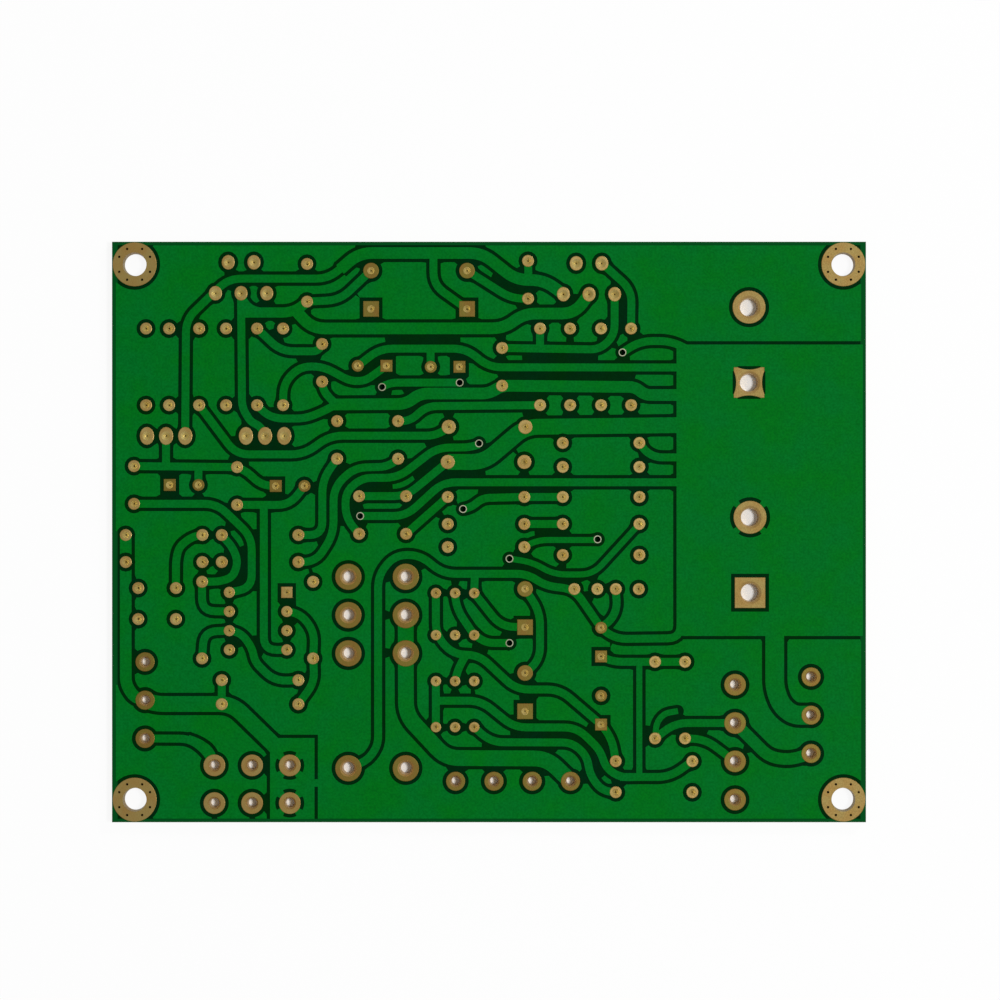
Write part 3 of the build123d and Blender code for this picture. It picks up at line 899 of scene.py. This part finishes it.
def plated_land(land, sides, hollow):
    """A land at the middle of the board, with its lead hole."""
    hole = LEAD_HOLES[land.node]
    wide = hole > SMALL_HOLE
    if hollow:
        plug = prism("plug", scalloped(Vector(), land.width, SCALLOP, SCALLOP_DEPTH), 0, LAND_TOP)
    else:
        plug = pillar("plug", (0, 0), land.width, land.length, 0, LAND_TOP, sides, land.square)
    rounded_rim(plug, LAND_TOP, LAND_ROUND)
    bore = hole if wide else FUNNEL_BORE
    depth = BOWL_DEPTH if wide else FUNNEL_DEPTH
    brim = hole * (BOWL_BRIM if wide else FUNNEL_BRIM)
    outlet = bore * (FILTER_OUTLET_SHARE if land.node == "filter_capacitor_lands" else OUTLET_SHARE)
    drill = cone("drill", (0, 0), outlet, bore * INLET_SHARE, -REACH, LAND_TOP + REACH, sides)
    flare = cone("flare", (0, 0), bore * FLARE_SHARE, brim, LAND_TOP - depth, LAND_TOP + BRIM_RISE, sides)
    cut(plug, [drill, flare])
    removed(drill, flare)
    plug.data.materials.clear()
    plug.data.materials.append(LAND_FINISHES.get(land.node, pale_gold))
    plug.data.materials.append(wide_hole_wall_gold_painted_light if wide else hole_wall_gold_painted_light)
    # Faces deep in the hole take the paler wall finish, painted light in the hole's shade
    for face in plug.data.polygons:
        deep = face.center.z < LAND_TOP - FIT and face.center.xy.length < hole * BARREL_SHARE
        face.material_index = 1 if deep else 0
    return plug


def tie_cuts(land, hollow, spread):
    """What parts a tied land from the area round it, all but its four bridges."""
    half = land.width / 2
    cuts = []
    for quarter in range(4):
        if hollow:
            turn = Matrix.Rotation(math.pi / 2 * quarter, 4, "Z")
            slit = oblong((half - SLIT_DEPTH, -SCALLOP / 2), (half + PIXEL, SCALLOP / 2))
            cuts.append([land.place + turn @ corner for corner in slit])
        else:
            cuts.append(opening(land.place, half - PIXEL, half + LAND_GAP, 90 * quarter, spread))
    return cuts


area_pixels = [pixel for node in AREAS for width, pixels in ROUTES[node] for pixel in pixels]
area_lands = [land_under(spot(pixel)) for pixel in area_pixels]
joined_to_areas = [land.place for land in area_lands if land]
kinds = {}
land_pieces = {}
for land in lands:
    sides = SMALL_SIDES if land.width < WIDE_LAND else WIDE_SIDES
    ties = [spread for pixel, spread in TIES if (spot(pixel) - land.place).length < MM]
    if land.square and land.node == "filter_capacitor_lands":
        land = land._replace(width=FILTER_SQUARE, length=FILTER_SQUARE)
    hollow = bool(ties) and land.square
    kind = (land.node, round(land.width / FIT), round(land.length / FIT), land.square, hollow)
    if kind not in kinds:
        kinds[kind] = plated_land(land, sides, hollow)
    land_pieces.setdefault(land.node, []).append(copied(kinds[kind], land.place))
    if hollow:
        drawing.draw("land", scalloped(land.place, land.width, SCALLOP, SCALLOP_DEPTH))
    else:
        drawing.draw("land", land_outline(land, sides))
    clearance = land_outline(land, sides, LAND_GAP)
    drawing.draw("etched", clearance)
    if ties:
        for outline in tie_cuts(land, hollow, ties[0]):
            drawing.draw("area_cut", outline)
    elif land.place not in joined_to_areas:
        drawing.draw("area_cut", clearance)
removed(*kinds.values())

# Mounting rings, each with eight small plated holes
MOUNT_LAND = 5.85 * MM
MOUNT_CLEARING = MOUNT_LAND + 2 * MOUNT_GAP
MOUNT_HOLE = 3.2 * MM
MOUNT_TAPER = 0.35 * MM
DOT = 0.34 * MM
DOT_DEPTH = 1.4 * MM
DOT_CIRCLE = 2.27 * MM
DOT_LEANS = (26, 64)
mount_places = [place for place, width, length in islands("mounting_rings")]
ring = pillar("ring", (0, 0), MOUNT_LAND, MOUNT_LAND, 0, LAND_TOP, MOUNT_SIDES)
rounded_rim(ring, LAND_TOP, LAND_ROUND)
bore = cone("bore", (0, 0), MOUNT_HOLE - MOUNT_TAPER, MOUNT_HOLE, -REACH, LAND_TOP + REACH, MOUNT_SIDES)
dots = []
for quarter in range(4):
    for lean in DOT_LEANS:
        angle = math.radians(lean + 90 * quarter)
        centre = (DOT_CIRCLE * math.cos(angle), DOT_CIRCLE * math.sin(angle))
        dots.append(pillar("dot", centre, DOT, DOT, LAND_TOP - DOT_DEPTH, LAND_TOP + REACH, DOT_SIDES))
cut(ring, [bore] + dots)
rings = joined([copied(ring, place) for place in mount_places])
removed(ring, bore, *dots)
for place in mount_places:
    drawing.draw("land", oval(place, MOUNT_LAND, MOUNT_LAND, MOUNT_SIDES))
    drawing.draw("etched", oval(place, MOUNT_CLEARING, MOUNT_CLEARING, MOUNT_SIDES))

# Vias
VIA = 1.04 * MM
VIA_CLEARING = VIA + 2 * ISOLATION_GAP
VIA_WELL = 0.80 * MM
VIA_DEPTH = 0.9 * MM
VIA_RISE = 0.02 * MM
VIA_RIM = 0.1 * MM
collar = pillar("collar", (0, 0), VIA, VIA, 0, COPPER_TOP + VIA_RISE, SMALL_SIDES)
well = pillar("well", (0, 0), VIA_WELL, VIA_WELL, BOARD_TOP - VIA_DEPTH, COPPER_TOP + REACH, SMALL_SIDES)
cut(collar, [well])
via_parts = []
for pixel in VIAS:
    place = spot(pixel)
    via_parts.append(copied(collar, place))
    drawing.draw("land", oval(place, VIA, VIA, SMALL_SIDES))
    drawing.draw("etched", oval(place, VIA_CLEARING, VIA_CLEARING, CLEARING_SIDES))
removed(collar, well)
vias = joined(via_parts)
vias.name = "vias"

# The copper itself, with the ground kept out of narrow places
rings_and_strips = [o for o, mark in zip(drawing.outlines, drawing.marks) if mark == "etched"]
for neck in necks(rings_and_strips, oblong(GROUND_LOW, GROUND_HIGH)):
    drawing.draw("etched", neck)
drawing.divide()
for node in ["ground_area", *ROUTES]:
    outside = {"land"}
    if node == "ground_area":
        outside = {"land", "etched"}
    elif node in AREAS:
        outside = {"land", "area_cut"}
    copper = drawing.plate(node + "_copper", {node}, outside, BOARD_TOP, COPPER_TOP, COPPER_ROUND)
    dressed(copper, copper_lacquer, False)
    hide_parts(node)

# Laminate, open where lands and vias pass through it
sheet_drawing = Drawing()
for outline, mark in zip(drawing.outlines, drawing.marks):
    if mark in ("board", "land"):
        sheet_drawing.draw(mark, outline)
sheet_drawing.divide()
sheet = sheet_drawing.plate("drilled_laminate", {"board"}, {"land"}, 0, BOARD_TOP)
dressed(sheet, laminate_lacquer, False)
sheet.data.materials.append(glass_epoxy())
for face in sheet.data.polygons:
    face.material_index = 1 if abs(face.normal.z) < 0.5 else 0
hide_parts("laminate")

# Finishes of the lands, rings and vias
for node, parts in land_pieces.items():
    piece = joined(parts)
    piece.name = "plated_" + node
    dressed(piece, LAND_FINISHES.get(node, pale_gold))
    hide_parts(node)
rings.name = "plated_mounting_rings"
dressed(rings, tan_gold)
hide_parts("mounting_rings")
dressed(vias, bright_tin)
vias.data.materials.append(laminate_lacquer)
for face in vias.data.polygons:
    face.material_index = 1 if face.center.z < COPPER_TOP - VIA_RIM else 0

# Floor, white to the camera beside the board, with a painted glow under its corner holes where the board
# shades it, and in the board's shadow elsewhere
FLOOR_SIZE = 20
FLOOR_DROP = 0.02 * MM
WHITE_SHARE = 0.9
CORNER = 5 * MM
bpy.ops.mesh.primitive_plane_add(size=FLOOR_SIZE, location=(0, 0, -FLOOR_DROP))
floor = bpy.context.object
floor.name = "floor"
bench = Bench("white_floor")
path = bench.add("ShaderNodeLightPath", {}, {}, "Is Camera Ray")
gloss = bench.add("ShaderNodeLightPath", {}, {}, "Is Glossy Ray")
through = bench.add("ShaderNodeLightPath", {}, {}, "Is Transmission Ray")
across = abs(bench.along("X"))
down = abs(bench.along("Y"))
beside = bench.higher(across > BOARD_HIGH.x, down > BOARD_HIGH.y)
# Under the corner holes the floor glows white to the camera: painted light where the board shades the floor
corner = (across > BOARD_HIGH.x - CORNER) * (down > BOARD_HIGH.y - CORNER)
clear = bench.higher(beside, corner)
matt = bench.add("ShaderNodeBsdfDiffuse", {}, {"Color": (0.80, 0.80, 0.80, 1)})
glow = bench.add("ShaderNodeEmission", {}, {"Color": (1, 1, 1, 1), "Strength": 1.0})
white = (path + gloss + through) * clear * WHITE_SHARE
blend = bench.add("ShaderNodeMixShader", {}, {0: white, 1: matt, 2: glow})
bench.add("ShaderNodeOutputMaterial", {}, {"Surface": blend})
floor.data.materials.append(bench.material)
floor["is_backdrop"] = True

# Studio light
STUDIO_LIGHT = 0.4
world = bpy.data.worlds.new("studio")
bpy.context.scene.world = world
world.use_nodes = True
sky = world.node_tree.nodes["Background"]
sky.inputs["Color"].default_value = (1, 1, 1, 1)
sky.inputs["Strength"].default_value = STUDIO_LIGHT


def lamp(name, place, size, power):
    """A square lamp that faces the board."""
    bpy.ops.object.light_add(type="AREA", location=place)
    light = bpy.context.object
    light.name = name
    light.data.size = size
    light.data.energy = power
    light.rotation_euler = (-light.location).to_track_quat("-Z", "Y").to_euler()


lamp("key_lamp", place=(0.526, 0, 1.08), size=0.22, power=9.5)
lamp("rim_lamp", place=(0.45, 0.45, 0.45), size=0.10, power=1.2)

# Camera straight above the middle of the photograph
FRAME_PIXELS = 1000
FRAME_MIDDLE = (500, 500)
CAMERA_HEIGHT = 0.5
SENSOR = 36
bpy.ops.object.camera_add(location=spot(FRAME_MIDDLE) + Vector((0, 0, CAMERA_HEIGHT + COPPER_TOP)))
camera = bpy.context.object
camera.data.sensor_width = SENSOR
camera.data.lens = SENSOR * CAMERA_HEIGHT / (FRAME_PIXELS * PIXEL)
camera.data.clip_start = 0.01
bpy.context.scene.camera = camera
bpy.context.scene.view_settings.view_transform = "Standard"

low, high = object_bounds()
